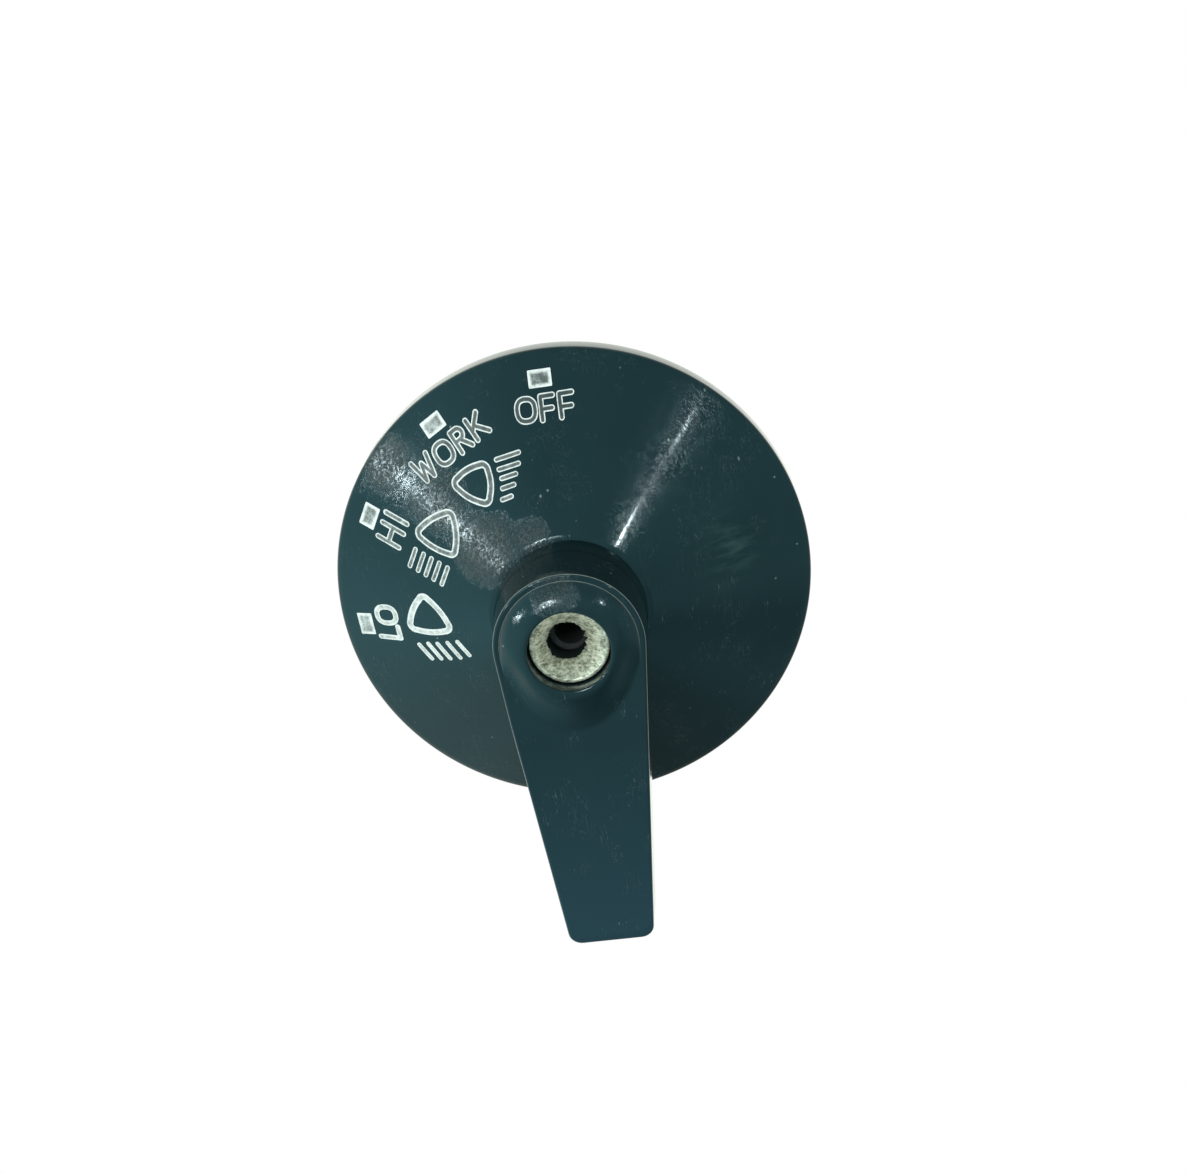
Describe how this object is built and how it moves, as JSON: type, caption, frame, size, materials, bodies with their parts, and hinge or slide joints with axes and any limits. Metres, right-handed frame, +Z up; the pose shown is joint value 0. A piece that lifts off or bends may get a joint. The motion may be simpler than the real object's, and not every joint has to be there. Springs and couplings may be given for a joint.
{
  "type": "rotary light switch",
  "caption": "Panel rotary light switch: a coned dial and a tapered lever that turns through four stops on a round switch body with screw terminals behind.",
  "frame": {"origin": "on the shaft's axis, in the plane where the dial's rear face meets the panel's front", "axes": "-Y along the shaft, out of the panel towards the hand; +Z up the panel, towards the OFF position's mark; +X to the right of someone facing the dial"},
  "size_m": [0.0636, 0.0556, 0.0759],
  "materials": {
    "dial_plastic": "moulded glossy black with fine scratches",
    "lever_plastic": "moulded glossy black",
    "hub_metal": "turned, with drill marks in the funnel",
    "bright_steel": "bright turned steel",
    "spring_steel": "oiled spring steel",
    "stamped_steel": "stamped, edges sheared",
    "zinc_plate": "zinc plated",
    "can_zinc": "drawn steel, zinc plated",
    "turned_brass": "turned brass with a fine thread",
    "contact_brass": "stamped contact brass",
    "terminal_brass": "stamped brass plate",
    "screw_brass": "slotted brass screw",
    "seal_rubber": "greased rubber",
    "nylon": "natural nylon",
    "phenolic": "brown phenolic laminate"
  },
  "bodies": {
    "switch_body": {"dial_plate": "dial_plastic", "lock_washer": "spring_steel", "panel_nut": "zinc_plate", "threaded_bushing": "turned_brass", "shaft_seal": "seal_rubber", "thrust_washer": "contact_brass", "housing_can": "can_zinc", "locating_pin": "bright_steel", "stop_pin": "bright_steel", "spring_post_left": "bright_steel", "spring_post_right": "bright_steel", "detent_spring": "spring_steel", "terminal_base": "phenolic", "supply_contact": "contact_brass", "supply_terminal": "terminal_brass", "supply_terminal_screw": "screw_brass", "work_contact": "contact_brass", "work_terminal": "terminal_brass", "work_terminal_screw": "screw_brass", "high_contact": "contact_brass", "high_terminal": "terminal_brass", "high_terminal_screw": "screw_brass", "low_contact": "contact_brass", "low_terminal": "terminal_brass", "low_terminal_screw": "screw_brass", "tail_contact": "contact_brass", "tail_terminal": "terminal_brass", "tail_terminal_screw": "screw_brass"},
    "lever_group": {"lever": "lever_plastic", "lever_insert": "hub_metal", "shaft": "bright_steel", "shaft_clip": "spring_steel", "star_wheel": "stamped_steel", "contact_carrier": "nylon", "contact_spring": "spring_steel", "contact_bridge": "contact_brass"}
  },
  "joints": [
    {"name": "lever_turn", "type": "hinge", "parent": "switch_body", "child": "lever_group", "pos_m": [0, 0, 0], "axis": [0, -1, 0], "range_deg": [0, 93.42], "deforming": ["detent_spring", "contact_spring"]}
  ]
}
